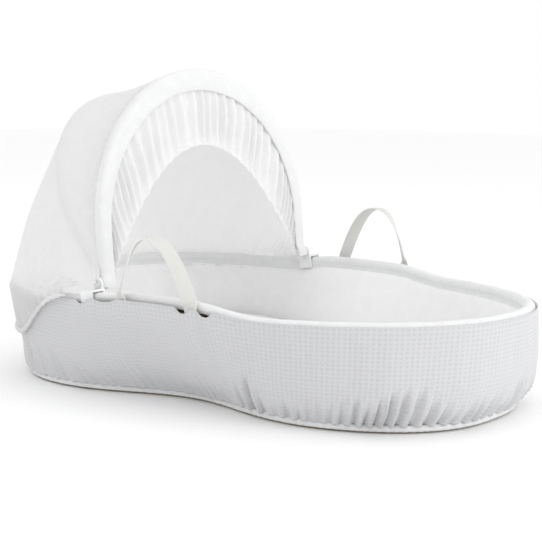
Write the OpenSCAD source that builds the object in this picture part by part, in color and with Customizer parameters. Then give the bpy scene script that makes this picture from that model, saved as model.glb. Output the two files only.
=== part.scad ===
// Moses basket with a folding hood, in millimetres.
// +X points to the foot end and +Z up. The origin is on the floor, under the middle of the rim's length.

/* [Basket] */
// Length of the rim
rim_length = 840; // [700:10:1010]
// Width of the rim, before its taper and waist
rim_width = 528; // [440:4:640]
// Height of the rim above the floor
basket_height = 148; // [120:1:180]
// How far the rim rises between the handles
shoulder_rise = 14; // [0:1:20]
// How far the rim rises at its two ends
end_rise = 4; // [0:1:10]
// How far in the base is at the head end
head_inset = 40; // [20:1:60]
// How far in the base is at the foot end
foot_inset = 32; // [20:1:60]
// How far in the base is at the sides
side_inset = 34; // [20:1:50]
// Narrowing of the rim towards the foot, as a share
rim_taper = 0.07; // [0:0.01:0.1]
// Narrowing of the base towards the foot, as a share
base_taper = 0.12; // [0:0.01:0.15]
// Waist of the rim at the handles, as a share
rim_waist = 0.05; // [0:0.01:0.1]
// Waist of the base, as a share
base_waist = 0.26; // [0.1:0.01:0.3]
// Length of the waist
waist_reach = 160; // [120:5:200]
// Thickness of the woven wall
wall_t = 7; // [5:0.5:9]
// Thickness of the woven base
base_t = 8; // [6:0.5:9]
// Radius of the cane in the rim
hoop_r = 6; // [5:0.5:7]
// Radius of the rolled border under the wall
border_r = 5; // [4.5:0.5:5.5]

/* [Soft goods] */
// Thickness of the padded liner
liner_t = 5; // [3:0.5:7]
// Thickness of the rolled edge round the rim
binding_t = 2.7; // [2:0.1:3.5]
// Thickness of the waffle skirt
skirt_t = 2; // [1.5:0.1:2.5]
// How far the skirt billows off the wall
skirt_billow = 24; // [22:1:30]
// Height of the hem that holds the elastic
hem_h = 10; // [8:0.5:11]
// Thickness of the mattress foam
foam_t = 34; // [25:1:45]
// Gap between the mattress and the liner
mattress_gap = 7; // [5:1:15]
// Thickness of the mattress cover
cover_t = 1.8; // [1.2:0.1:2.5]

/* [Handles] */
// Width of the strap
strap_w = 20; // [16:1:30]
// Thickness of the strap
strap_t = 3; // [2.5:0.1:3.5]
// Distance between the two legs of one handle
leg_spacing = 127; // [110:1:150]
// Height of the loop above its bar
loop_h = 106; // [95:1:130]
// Place of the handles along the basket
handle_x = 7.5; // [0:0.5:20]
// Radius of the bar that a handle turns on
bar_r = 2.5; // [2:0.1:3]
// How far the handles lean out
handle_lean = 5; // [3:0.5:8]

/* [Hood] */
// Place of the hood's pivot along the basket
pivot_x = -125; // [-140:1:-115]
// Height of the pivot above the rim
pivot_rise = 12; // [11:0.5:16]
// Radius of the pivot pin
pin_r = 3; // [2:0.1:3.2]
// Radius of the wire bows
wire_r = 3; // [2:0.1:3]
// Height of the front bow above the pivot
front_bow_h = 306; // [270:1:330]
// Height of the rear bow above the pivot
rear_bow_h = 328; // [315:1:350]
// Lean of the front bow towards the head
front_lean = 5; // [0:1:10]
// Lean of the rear bow towards the head
rear_lean = 35; // [31:1:40]
// Thickness of the canopy cloth
cloth_t = 2; // [1.5:0.1:2.5]
// Width of the smooth band round the hood's mouth
band_w = 32; // [25:1:40]
// Longest drop of the frill
frill_h = 86; // [60:1:100]
// How far the canopy's hem hangs below the rim
hem_drop = 74; // [50:1:78]

/* [Fits] */
// Clearance of a pin or bar in its bore
bore_gap = 0.06; // [0.04:0.01:0.08]
// Gap between pieces that only lie together
lay_gap = 0.4; // [0.3:0.05:0.5]

/* [Hidden] */
$fn = 48;

points_round = 56;          // points in each turn of the basket's outline
head_power = 2.85;          // squareness of the rim at the head
foot_power = 2.2;           // and at the foot
base_head_power = 3.4;
base_foot_power = 2.6;
shoulder_reach = 130;       // half length of the raised rim
slot_centre = -13;          // the skirt stands open beside the handles and the clips
slot_reach = 138;
slot_drop = 8;
head_cling = 9;             // the skirt's distance off the wall round the corners of the head
turns = [for (i = [0:points_round - 1]) 360 * i / points_round];

// ---------- outline of the basket ----------

function blend(a, b, k) = a + (b - a) * k;
function smooth(k) = k <= 0 ? 0 : k >= 1 ? 1 : k * k * (3 - 2 * k);
function bell(x, reach, power) = exp(-pow(abs(x) / reach, power));
function round_side(c, power) = pow(max(0, 1 - pow(abs(c), power)), 1 / power);
function rim_share(c) = round_side(c, c < 0 ? head_power : foot_power) * (1 - rim_taper * c)
    * (1 - rim_waist * bell(c * rim_length / 2, waist_reach, 2));
function base_share(c) = round_side(c, c < 0 ? base_head_power : base_foot_power) * (1 - base_taper * c)
    * (1 - base_waist * bell(c * rim_length / 2, waist_reach, 2));
function half_length(h, c) = rim_length / 2 - (1 - h) * (c < 0 ? head_inset : foot_inset);
function half_width(h) = rim_width / 2 - (1 - h) * side_inset;

// The rim's top at a share c of its half length.
function rim_top(c) = basket_height + shoulder_rise * bell(c * rim_length / 2, shoulder_reach, 4)
    + end_rise * c * c;

// A point of the outline at turn t, at height share h from base to rim, d outside the wall.
function outline(t, h, d) = let (c = cos(t), s = sin(t))
    [(half_length(h, c) + d) * c, sign(s) * (half_width(h) + d) * blend(base_share(c), rim_share(c), h)];
function wall_ring(h, d, dz) = [for (t = turns) let (p = outline(t, h, d))
    [p[0], p[1], h * rim_top(cos(t)) + dz]];
function level_ring(h, d, z) = [for (t = turns) let (p = outline(t, h, d)) [p[0], p[1], z]];
function rim_side(x) = let (c = x / (rim_length / 2)) rim_width / 2 * rim_share(c);

// ---------- solids built from rings and grids of points ----------

function joined(rings) = [for (ring = rings) each ring];
function band_faces(k, next, n) = [for (i = [0:n - 1]) let (j = (i + 1) % n)
    each [[k * n + i, next * n + j, k * n + j], [k * n + i, next * n + i, next * n + j]]];

// A closed hoop: the rings follow one another round its section.
module hoop_solid(rings) {
    n = len(rings[0]);
    k = len(rings);
    polyhedron(joined(rings), [for (a = [0:k - 1]) each band_faces(a, (a + 1) % k, n)], convexity = 8);
}

// The same quads, cut along their other diagonal.
function crossed_faces(k, next, n) = [for (i = [0:n - 1]) let (j = (i + 1) % n)
    each [[k * n + i, next * n + i, k * n + j], [next * n + i, next * n + j, k * n + j]]];

// A closed stack: the first and the last ring are its two ends.
module stack_solid(rings) {
    n = len(rings[0]);
    k = len(rings);
    polyhedron(joined(rings), concat([for (a = [0:k - 2]) each band_faces(a, a + 1, n)],
        [[for (i = [0:n - 1]) i]], [[for (i = [n - 1:-1:0]) (k - 1) * n + i]]), convexity = 8);
}

// A cap with an open underside: both lists of rings run from its foot to its top.
module cap_solid(outer, inner) {
    n = len(outer[0]);
    ko = len(outer);
    ki = len(inner);
    polyhedron(joined(concat(outer, inner)), concat(
        [for (a = [0:ko - 2]) each band_faces(a, a + 1, n)],
        [for (a = [ko:ko + ki - 2]) each band_faces(a + 1, a, n)], band_faces(ko, 0, n),
        [[for (i = [n - 1:-1:0]) (ko - 1) * n + i]], [[for (i = [0:n - 1]) (ko + ki - 1) * n + i]]),
        convexity = 8);
}

// A sheet with thickness between two grids of the same size.
module sheet_solid(outer, inner) {
    rows = len(outer);
    n = len(outer[0]);
    last = rows * n;
    edge = concat([for (i = [0:n - 2]) [i, i + 1]],
        [for (r = [0:rows - 2]) [r * n + n - 1, r * n + 2 * n - 1]],
        [for (i = [n - 1:-1:1]) [last - n + i, last - n + i - 1]],
        [for (r = [rows - 1:-1:1]) [r * n, r * n - n]]);
    polyhedron(joined(concat(outer, inner)), concat(
        [for (r = [0:rows - 2], i = [0:n - 2]) let (a = r * n + i)
            each [[a, a + n, a + n + 1], [a, a + n + 1, a + 1]]],
        [for (r = [0:rows - 2], i = [0:n - 2]) let (a = last + r * n + i)
            each [[a, a + n + 1, a + n], [a, a + 1, a + n + 1]]],
        [for (e = edge) each [[e[0], e[1], last + e[1]], [e[0], last + e[1], last + e[0]]]]), convexity = 8);
}

module far_side(side) {
    if (side > 0) mirror([0, 1, 0]) children();
    else children();
}

// ---------- basket ----------

wall_foot = 2 * border_r + 0.3;
hoop_z = -(hoop_r + binding_t + 0.3);
hoop_d = -wall_t / 2;
wall_top = hoop_z - hoop_r - 0.1;
liner_foot = base_t + 0.2;
floor_pad_t = 5;

module base_panel() color("burlywood")
    linear_extrude(base_t) polygon([for (t = turns) outline(t, 0, -(2 * border_r + lay_gap))]);

module base_border() color("burlywood") hoop_solid([for (a = [0:36:324])
    wall_ring(0, -border_r + border_r * cos(a), border_r * (1 + sin(a)) + 0.1)]);

// A ring on the wall's slope, d outside it, at a share of the way from its foot to its top.
function slope_ring(share, d) = let (foot = wall_ring(0, d, wall_foot), top = wall_ring(1, d, wall_top))
    [for (i = [0:len(foot) - 1]) blend(foot[i], top[i], share)];
module slope_skin(from, to, d, thick) {
    n = points_round;
    polyhedron(joined([slope_ring(from, d), slope_ring(to, d), slope_ring(to, d - thick),
        slope_ring(from, d - thick)]), concat(band_faces(0, 1, n), band_faces(1, 2, n),
        crossed_faces(2, 3, n), band_faces(3, 0, n)), convexity = 8);
}

module basket_wall() color("wheat") slope_skin(0, 1, 0, wall_t);

module rim_hoop() color("tan")
    hoop_solid([for (a = [0:36:324]) wall_ring(1, hoop_d + hoop_r * cos(a), hoop_z + hoop_r * sin(a))]);

// ---------- liner, binding and skirt ----------

liner_d = -(wall_t + lay_gap);
liner_share = 0.97;         // how far up the wall the liner reaches
liner_top = wall_top - (1 - liner_share) * (basket_height + wall_top - wall_foot);
binding_in = hoop_r + 0.3;
binding_out = binding_in + binding_t;
binding_edge = hoop_d + binding_out;

floor_gap = 1.5;
module liner_wall() color("white") slope_skin(0.01, liner_share, liner_d, liner_t);

module liner_floor() color("white") translate([0, 0, liner_foot])
    linear_extrude(floor_pad_t) polygon([for (t = turns) outline(t, 0, liner_d - liner_t - floor_gap)]);

// The binding rolls over the cane from a little under it outside to a little under it inside.
binding_turns = [-35:25:215];
function round_cane(a, r) = wall_ring(1, hoop_d + r * cos(a), hoop_z + r * sin(a));
module rim_binding() color("snow") hoop_solid(concat(
    [for (a = binding_turns) round_cane(180 - a, binding_in)],
    [for (a = binding_turns) round_cane(a, binding_out)]));

// The slot is 1 beside the handles and clips, where the skirt stands open, and 0 elsewhere.
function slot(c) = bell(c * rim_length / 2 - slot_centre, slot_reach, 6);
skirt_top_d = binding_edge + 2 * lay_gap;
hem_foot = 2;
hem_in = 2.5;
hem_out = 9;
fold_t = 1.5;
elastic_t = 1;
elastic_gap = 0.4;
skirt_heights = [0.1, 0.22, 0.42, 0.62, 0.82];
skirt_offsets = [hem_out + skirt_t, skirt_billow - 2, skirt_billow, skirt_billow - 5, skirt_billow / 2 + 2];
skirt_clings = [hem_out + skirt_t, head_cling, head_cling, head_cling + 1, head_cling + 2.5];
skirt_gapes = [0, 0, 4, 9, 15];
skirt_drop = 6;
notch_top = 60;
function cling(c) = smooth((-c - 0.3) / 0.4);
function skirt_edge(d) = [for (t = turns) let (k = slot(cos(t)), p = outline(t, 1, d + slot_gape * k))
    [p[0], p[1], rim_top(cos(t)) - skirt_drop - slot_drop * k]];
function skirt_ring(h, d, clung, gape, extra) = [for (t = turns) let (c = cos(t),
    p = outline(t, h, blend(d, clung, cling(c)) + gape * slot(c) + extra))
    [p[0], p[1], h * rim_top(c)]];
function skirt_rings(extra) = concat([for (i = [0:len(skirt_heights) - 1])
    skirt_ring(skirt_heights[i], skirt_offsets[i], skirt_clings[i], skirt_gapes[i], extra)],
    [skirt_edge(skirt_top_d + skirt_t + extra)]);

module waffle_skirt() color("gainsboro") difference() {
    inner = skirt_rings(-skirt_t);
    outer = skirt_rings(0);
    hoop_solid(concat(outer, [for (i = [len(inner) - 1:-1:0]) inner[i]]));
    for (side = [-1, 1]) far_side(side) at_bar() for (x = leg_places)
        translate([x - notch_w / 2, -notch_depth, -notch_drop]) cube([notch_w, 2 * notch_depth, notch_top]);
}

module hem_casing() color("snow")
    hoop_solid([for (p = [[hem_out, hem_foot], [hem_out, hem_foot + hem_h], [hem_in, hem_foot + hem_h],
        [hem_in, hem_foot + hem_h - fold_t], [hem_out - fold_t, hem_foot + hem_h - fold_t],
        [hem_out - fold_t, hem_foot + fold_t], [hem_in, hem_foot + fold_t], [hem_in, hem_foot]])
        wall_ring(0, p[0], p[1])]);

module hem_elastic() color("white")
    hoop_solid([for (p = [[0, 0], [0, 1], [-1, 1], [-1, 0]])
        wall_ring(0, hem_out - fold_t - elastic_gap + p[0] * elastic_t, blend(hem_foot + fold_t + elastic_gap,
            hem_foot + hem_h - fold_t - elastic_gap, p[1]))]);

// ---------- mattress ----------

mattress_foot = liner_foot + floor_pad_t + 0.3;
mattress_d = liner_d - liner_t - mattress_gap;
core_foot = mattress_foot + cover_t + 0.2;
core_top = core_foot + foam_t;
core_d = mattress_d - cover_t - 0.2;
core_round = 4;
lip_w = 35;

module mattress_core() color("lightyellow")
    stack_solid([level_ring(0, core_d - core_round, core_foot), level_ring(0, core_d, core_foot + core_round),
        level_ring(0, core_d, core_top - core_round), level_ring(0, core_d - core_round, core_top)]);

module mattress_cover() color("white") {
    grow = cover_t + 0.2;
    cap_solid([level_ring(0, mattress_d - lip_w, mattress_foot),
        level_ring(0, mattress_d - core_round, mattress_foot),
        level_ring(0, mattress_d, core_foot + core_round), level_ring(0, mattress_d, core_top - core_round),
        level_ring(0, mattress_d - core_round, core_top + grow)],
        [level_ring(0, mattress_d - lip_w, core_foot - 0.2),
        level_ring(0, core_d - core_round + 0.1, core_foot - 0.2),
        level_ring(0, core_d + 0.2, core_foot + core_round),
        level_ring(0, core_d + 0.2, core_top - core_round),
        level_ring(0, core_d - core_round + 0.1, core_top + 0.2)]);
}

// ---------- handles ----------

eye_r = bar_r + bore_gap + strap_t;
bar_d = binding_edge + 1;
leg_places = [-leg_spacing / 2, leg_spacing / 2];
bar_end = 12;
bar_half = leg_spacing / 2 + strap_w / 2 + bar_end;
head_side = rim_side(handle_x - leg_spacing / 2);
foot_side = rim_side(handle_x + leg_spacing / 2);
handle_skew = atan((head_side - foot_side) / leg_spacing);
bar_y = -((head_side + foot_side) / 2 + bar_d);
bar_z = rim_top((handle_x + bar_half) / (rim_length / 2)) + hoop_z - hoop_r - bar_r - lay_gap;
notch_w = strap_w + 12;
notch_depth = 40;
notch_drop = eye_r + 5;
bracket_w = 8;
bracket_shell = 1.2;
bracket_reach = bar_d + wall_t + 0.8;
slot_gape = bar_d + bar_r + bracket_shell + 3.5 - skirt_top_d;

// Places its children on the near bar: X along the bar, -Y away from the basket.
module at_bar() translate([handle_x, bar_y, bar_z]) rotate([0, 0, handle_skew]) children();

// The strap's middle line in the plane of the loop, k from 0 at one bar end to 1 at the other.
leg_rise = 20;
leg_share = 0.06;
loop_power = 2.3;
function loop_line(k) = let (e = min(k, 1 - k), x = -cos(180 * max(0, e - leg_share) / (1 - 2 * leg_share)),
    z = e < leg_share ? leg_rise * e / leg_share : blend(loop_h, leg_rise, pow(abs(x), loop_power)))
    [(k < 0.5 ? 1 : -1) * x * leg_spacing / 2, z];
loop_steps = 30;
loop_stops = [for (i = [0:loop_steps]) i / loop_steps];

// The strap lies flat on the wall at its ends, turns half way over the rim and stands edge-on at the top.
turn_from = 8;
turn_reach = 24;
function loop_turn(k) = let (p = loop_line(k))
    -45 * (2 - smooth((p[1] - turn_from) / turn_reach) - smooth(1 - abs(p[0]) / (leg_spacing / 2)));
function loop_section(k) = let (p = loop_line(k),
    run = loop_line(min(1, k + 0.01)) - loop_line(max(0, k - 0.01)),
    tangent = k == 0 ? [0, 1] : k == 1 ? [0, -1] : run / norm(run),
    flat = [tangent[1], 0, -tangent[0]], a = loop_turn(k), w = cos(a) * [0, 1, 0] + sin(a) * flat,
    n = cross(w, [tangent[0], 0, tangent[1]]), m = [p[0], -(bar_r + bore_gap + strap_t / 2), p[1]])
    [for (s = [[-1, -1], [-1, 1], [1, 1], [1, -1]]) m + s[0] * w * strap_w / 2 + s[1] * n * strap_t / 2];

module strap(colour) color(colour) at_bar() rotate([handle_lean, 0, 0]) difference() {
    union() {
        stack_solid([for (k = loop_stops) loop_section(k)]);
        for (x = leg_places) translate([x - strap_w / 2, 0, 0]) rotate([0, 90, 0])
            cylinder(r = eye_r, h = strap_w);
    }
    for (x = leg_places) translate([x - strap_w, 0, 0]) rotate([0, 90, 0])
        cylinder(r = bar_r + bore_gap, h = 2 * strap_w);
}

module handle_near() strap("ivory");
module handle_far() far_side(1) strap("ivory");

rivet_rise = 10;
rivet_r = 3;
rivet_t = 1;
// A rivet on the strap's inner face closes each eye.
module strap_rivets() color("silver") at_bar() rotate([handle_lean, 0, 0]) for (x = leg_places)
    translate([x, 2 * lay_gap + rivet_t - bar_r - bore_gap, rivet_rise]) rotate([90, 0, 0])
        cylinder(r = rivet_r, h = rivet_t);
module strap_rivets_near() strap_rivets();
module strap_rivets_far() far_side(1) strap_rivets();

module handle_bar() color("silver") at_bar()
    translate([-bar_half, 0, 0]) rotate([0, 90, 0]) cylinder(r = bar_r, h = 2 * bar_half);
module handle_bar_near() handle_bar();
module handle_bar_far() far_side(1) handle_bar();

// Each bar hangs in three blocks that are screwed to the wall.
bracket_places = [-bar_half + bracket_w / 2 + 1, 0, bar_half - bracket_w / 2 - 1];
module bar_brackets() color("tan") for (side = [-1, 1]) far_side(side) at_bar() for (x = bracket_places)
    translate([x - bracket_w / 2, 0, 0]) difference() {
        union() {
            rotate([0, 90, 0]) cylinder(r = bar_r + bracket_shell, h = bracket_w);
            translate([0, 0, -(bar_r + bracket_shell)])
                cube([bracket_w, bracket_reach, 2 * bar_r + bracket_shell]);
        }
        translate([-1, 0, 0]) rotate([0, 90, 0]) cylinder(r = bar_r + 0.02, h = bracket_w + 2);
    }

// ---------- hood frame ----------

clip_w = 24;
clip_t = 3;
clip_gap = 1.4;
clip_outer_drop = 17;
clip_inner_drop = -liner_top - 1;
ear_r = 9;
pivot_c = pivot_x / (rim_length / 2);
pivot_side = rim_side(pivot_x) + hoop_d;
pivot_z = rim_top(pivot_c) + pivot_rise;
ear_in = pivot_side - binding_out - clip_gap - clip_t;
washer_t = 0.8;
eye_t = 4;
bow_eye_r = 9;
washer_r = 7;
rear_half = ear_in - 0.2 - washer_t - 0.2 - eye_t / 2;
spacer_t = 5;
front_half = rear_half - eye_t - spacer_t - 0.4;
foot_lift = washer_r + 0.3;
rim_z = rim_top(pivot_c);
clip_tilt = atan((rim_top((pivot_x + clip_w / 2) / (rim_length / 2))
    - rim_top((pivot_x - clip_w / 2) / (rim_length / 2))) / clip_w);

module at_pivot() translate([pivot_x, 0, pivot_z]) children();
module along_y(r, from, to) translate([0, from, 0]) rotate([-90, 0, 0]) cylinder(r = r, h = to - from);

// A saddle that lies on the slope of the rim, whose inner leg rises to carry the pin.
module hood_clip() color("dimgray") translate([pivot_x, 0, 0]) difference() {
    outer_y = pivot_side + binding_out + clip_gap;
    clip_top = clip_gap + clip_t;
    union() {
        translate([0, 0, rim_z]) rotate([0, -clip_tilt, 0]) translate([-clip_w / 2, 0, 0]) {
            translate([0, -(outer_y + clip_t), clip_gap]) cube([clip_w, outer_y + clip_t - ear_in, clip_t]);
            translate([0, -(outer_y + clip_t), -clip_outer_drop])
                cube([clip_w, clip_t, clip_outer_drop + clip_top]);
            translate([0, -(ear_in + clip_t), -clip_inner_drop])
                cube([clip_w, clip_t, clip_inner_drop + clip_top]);
        }
        translate([-ear_r, -(ear_in + clip_t), rim_z]) cube([2 * ear_r, clip_t, pivot_rise]);
        translate([0, 0, pivot_z]) along_y(ear_r, -(ear_in + clip_t), -ear_in);
    }
    translate([0, 0, pivot_z]) along_y(pin_r + bore_gap, -(ear_in + 2 * clip_t), -(ear_in - clip_t));
}
module hood_clip_near() hood_clip();
module hood_clip_far() far_side(1) hood_clip();

pin_inner = front_half - eye_t / 2 - 0.2;
cap_t = 3;
module pivot_pin() color("silver") at_pivot() {
    along_y(2 * pin_r, -(ear_in + clip_t + 2.2), -(ear_in + clip_t + 0.1));
    along_y(pin_r, -(ear_in + clip_t + 0.2), -(pin_inner - cap_t + 0.8));
}
module pivot_pin_near() pivot_pin();
module pivot_pin_far() far_side(1) pivot_pin();

module pivot_ring(outer_r, from, to) difference() {
    along_y(outer_r, from, to);
    along_y(pin_r + bore_gap, from - 1, to + 1);
}

// A thin washer and a spacer on each pin keep the two bows apart.
module pivot_washers() color("silver") for (side = [-1, 1]) far_side(side) at_pivot() {
    pivot_ring(washer_r, -(rear_half + eye_t / 2 + 0.1 + washer_t), -(rear_half + eye_t / 2 + 0.1));
    pivot_ring(pin_r + 2, -(rear_half - eye_t / 2 - 0.2), -(front_half + eye_t / 2 + 0.2));
}

module pin_caps() color("white") for (side = [-1, 1]) far_side(side) at_pivot() difference() {
    along_y(2 * pin_r, -pin_inner, -(pin_inner - cap_t));
    along_y(pin_r + bore_gap, -(pin_inner + 1), -(pin_inner - cap_t + 0.7));
}

// A bow: two flat eyes on the pins, two straight legs and a half circle.
module bow(half, height, lean) color("lightgray") at_pivot() rotate([0, -lean, 0]) {
    leg = height - half;
    translate([0, 0, leg]) rotate([90, 0, 90]) rotate_extrude(angle = 180) translate([half, 0])
        circle(r = wire_r, $fn = 24);
    for (side = [-1, 1]) far_side(side) difference() {
        union() {
            translate([0, -half, foot_lift]) cylinder(r = wire_r, h = leg - foot_lift, $fn = 24);
            along_y(bow_eye_r, -half - eye_t / 2, -half + eye_t / 2);
        }
        along_y(pin_r + bore_gap, -half - eye_t, -half + eye_t);
    }
}
module rear_bow() bow(rear_half, rear_bow_h, rear_lean);
module front_bow() bow(front_half, front_bow_h, front_lean);

// ---------- canopy ----------

arch_steps = 28;
arch_start = 24;

// A point of a bow's middle line pushed out by grow, k from 0 near to 1 far, in its own leaning plane.
function bow_point(half, height, lean, grow, k) = let (leg = height - half, r = half + grow,
    skip = arch_start, run = 2 * (leg - skip) + PI * half, s = k * run, side = s < run / 2 ? -1 : 1,
    e = min(s, run - s), a = max(0, e - (leg - skip)) / half * 180 / PI,
    y = side * r * cos(a), z = e < leg - skip ? skip + e : leg + r * sin(a))
    [pivot_x - z * sin(lean), y, pivot_z + z * cos(lean)];
function front_arch(grow, k) = bow_point(front_half, front_bow_h, front_lean, grow, k);
function rear_arch(grow, k) = bow_point(rear_half, rear_bow_h, rear_lean, grow, k);
arch = [for (i = [0:arch_steps]) i / arch_steps];
chord_sag = rear_half * (1 - cos(120 / arch_steps));
cloth_lift = wire_r + lay_gap + chord_sag;
front_rows = [for (i = [0:4]) 0.97 * i / 4];
function front_grid(grow) = [for (v = front_rows)
    [for (k = arch) blend(front_arch(grow, k), rear_arch(grow, k), v)]];

module canopy_front() color("white") sheet_solid(front_grid(cloth_lift + cloth_t), front_grid(cloth_lift));

// The hem starts over the rim behind the pivot and runs round the outside of the head end.
hem_turn = 111;
hem_d = skirt_billow / 2 + 6;
hem_cling = head_cling + 4;
hem_ramp = 0.21;
hem_r = 3;
function hem_fall(k, from, to) = blend(from, to, smooth(min(k, 1 - k) / hem_ramp));
// A point at share k of the hem's run, fall below the rim and d outside the wall.
function hem_place(k, fall, side_d, head_d) = let (t = 360 - blend(hem_turn, 360 - hem_turn, k),
    h = 1 - max(0, fall) / basket_height, p = outline(t, h, blend(side_d, head_d, cling(cos(t)))))
    [p[0], p[1], rim_top(cos(t)) - fall];
function hem_point(k, grow) = hem_place(k, hem_fall(k, -4, hem_drop), hem_d + grow, hem_cling + grow);
// The back panel passes outside the rim and turns in to the hem.
over_rim = 12;
over_share = 0.75;
function rim_pass(k) = hem_place(k, hem_fall(k, -12, over_rim), hem_d, hem_cling + 3);
hood_heart = [pivot_x - 110, 0, pivot_z + 20];
back_bulge = 6;
back_rows = [0, 0.15, 0.3, 0.45, 0.6, 0.75, 0.875, 1];
function outward(p) = (p - hood_heart) / norm(p - hood_heart);
function back_point(k, v) = v > over_share
    ? blend(rim_pass(k), hem_point(k, 0), (v - over_share) / (1 - over_share))
    : let (p = blend(rear_arch(cloth_lift + cloth_t, k), rim_pass(k), v / over_share))
    p + outward(p) * back_bulge * sin(180 * v / over_share) * sin(180 * blend(0.1, 0.9, k));
function back_grid(sink) = [for (v = back_rows)
    [for (k = arch) let (p = back_point(k, v)) p - sink * outward(p)]];

module canopy_back() color("white") sheet_solid(back_grid(0), back_grid(cloth_t));

hem_sides = 8;
function hem_section(k) = let (p = hem_point(k, hem_r - 1),
    q = [p[0] - hood_heart[0], p[1], 0], o = q / norm(q))
    [for (a = [0:360 / hem_sides:359]) p + [0, 0, -hem_r - 1] + hem_r * (cos(a) * o + [0, 0, sin(a)])];
module canopy_hem() color("snow") stack_solid([for (k = arch) hem_section(k)]);

band_rise = 12;
band_gap = 0.6;
band_t = 3;
band_side = 20;             // its width at its two sides
band_over = 2;              // how far the band stands out past the wire
module arch_shape(half, leg, foot) intersection() {
    union() {
        translate([0, leg]) circle(r = half, $fn = 96);
        translate([-half, foot]) square([2 * half, leg - foot]);
    }
    translate([-half, foot]) square([2 * half, leg - foot + half]);
}

// Stands its flat children up in the front bow's plane, with their thickness towards the foot end.
module in_front_plane(from, thick) at_pivot() rotate([0, -front_lean, 0]) translate([from, 0, 0])
    rotate([90, 0, 90]) linear_extrude(thick) children();

front_leg = front_bow_h - front_half;
band_half = front_half + wire_r + band_over - band_side;
band_leg = front_leg - (band_w - band_side);
module front_band() color("snow") in_front_plane(wire_r + band_gap, band_t) difference() {
    arch_shape(front_half + wire_r + band_over, front_leg, band_rise);
    arch_shape(band_half, band_leg, band_rise - 1);
}

frill_foot = 20;
frill_tuck = 6;             // how far the frill runs up behind the band
frill_side = 8;
frill_half = band_half + frill_tuck;
frill_top = band_leg + band_half - frill_h;
module frill() color("white") in_front_plane(-1, wire_r + 2 * band_gap) difference() {
    opening_half = frill_half - frill_side;
    arch_shape(frill_half, band_leg, frill_foot);
    polygon(concat([[opening_half, frill_foot - 1], [-opening_half, frill_foot - 1]],
        [for (q = [-1:0.08:1]) [opening_half * q, blend(frill_top, frill_foot, q * q)]]));
}

base_panel();
base_border();
basket_wall();
rim_hoop();
liner_wall();
liner_floor();
rim_binding();
waffle_skirt();
hem_casing();
hem_elastic();
mattress_core();
mattress_cover();
handle_near();
handle_far();
strap_rivets_near();
strap_rivets_far();
handle_bar_near();
handle_bar_far();
bar_brackets();
hood_clip_near();
hood_clip_far();
pivot_pin_near();
pivot_pin_far();
pivot_washers();
pin_caps();
rear_bow();
front_bow();
canopy_front();
canopy_back();
canopy_hem();
front_band();
frill();
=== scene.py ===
import math

import bmesh
import bpy
from mathutils import Matrix, Vector, noise


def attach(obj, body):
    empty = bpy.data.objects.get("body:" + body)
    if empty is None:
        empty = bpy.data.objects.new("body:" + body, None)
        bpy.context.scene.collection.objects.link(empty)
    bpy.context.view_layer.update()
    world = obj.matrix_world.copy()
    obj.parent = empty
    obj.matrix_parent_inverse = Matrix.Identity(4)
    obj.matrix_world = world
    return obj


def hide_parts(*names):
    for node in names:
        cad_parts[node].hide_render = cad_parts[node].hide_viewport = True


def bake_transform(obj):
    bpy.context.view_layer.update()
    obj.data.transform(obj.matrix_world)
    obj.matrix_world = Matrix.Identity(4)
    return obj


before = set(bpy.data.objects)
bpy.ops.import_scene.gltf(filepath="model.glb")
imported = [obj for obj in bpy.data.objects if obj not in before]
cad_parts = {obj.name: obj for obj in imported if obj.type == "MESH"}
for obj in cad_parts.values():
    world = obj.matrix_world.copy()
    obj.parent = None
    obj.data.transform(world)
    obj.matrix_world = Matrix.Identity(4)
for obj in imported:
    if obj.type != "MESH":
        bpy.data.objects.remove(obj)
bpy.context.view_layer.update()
mm = 0.001

# camera
view = {"azimuth": 39.5, "elevation": 8.19, "distance": 2.0015, "aim": (0, 0, 0.15),
        "lens": 86.35, "aside": 0.000354, "below": 0.009654}


def placeCamera():
    a, e = math.radians(view["azimuth"]), math.radians(view["elevation"])
    forward = Vector((-math.sin(a) * math.cos(e), math.cos(a) * math.cos(e), -math.sin(e)))
    right = Vector((math.cos(a), math.sin(a), 0))
    up = right.cross(forward)
    lens = bpy.data.cameras.new("studioCamera")
    lens.lens = view["lens"]
    lens.sensor_width = 36
    lens.clip_start = 0.05
    camera = bpy.data.objects.new("studioCamera", lens)
    bpy.context.collection.objects.link(camera)
    place = Vector(view["aim"]) - view["distance"] * (forward + right * view["aside"] - up * view["below"])
    turn = Matrix((right, up, -forward)).transposed().to_4x4()
    camera.matrix_world = Matrix.Translation(place) @ turn
    bpy.context.scene.camera = camera


placeCamera()
print("camera placed")

# small sums used by every piece; lengths in them are in mm
def mix(a, b, k):
    return a + (b - a) * k


def smooth(k):
    k = min(1, max(0, k))
    return k * k * (3 - 2 * k)


def bell(x, reach, power=2):
    return math.exp(-(abs(x) / reach) ** power)


def ripple(x, y=0.0, seed=0.0):
    return noise.noise(Vector((x, y, seed)))


# a soft curve through (place, value) stops in rising order
def through(stops, x):
    if x <= stops[0][0]:
        return stops[0][1]
    for i in range(len(stops) - 1):
        (x0, y0), (x1, y1) = stops[i], stops[i + 1]
        if x <= x1:
            before, after = stops[max(0, i - 1)], stops[min(len(stops) - 1, i + 2)]
            rise0 = (y1 - before[1]) / (x1 - before[0])
            rise1 = (after[1] - y0) / (after[0] - x0)
            k, wide = (x - x0) / (x1 - x0), x1 - x0
            return ((2 * k ** 3 - 3 * k * k + 1) * y0 + (k ** 3 - 2 * k * k + k) * wide * rise0
                    + (3 * k * k - 2 * k ** 3) * y1 + (k ** 3 - k * k) * wide * rise1)
    return stops[-1][1]


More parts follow.
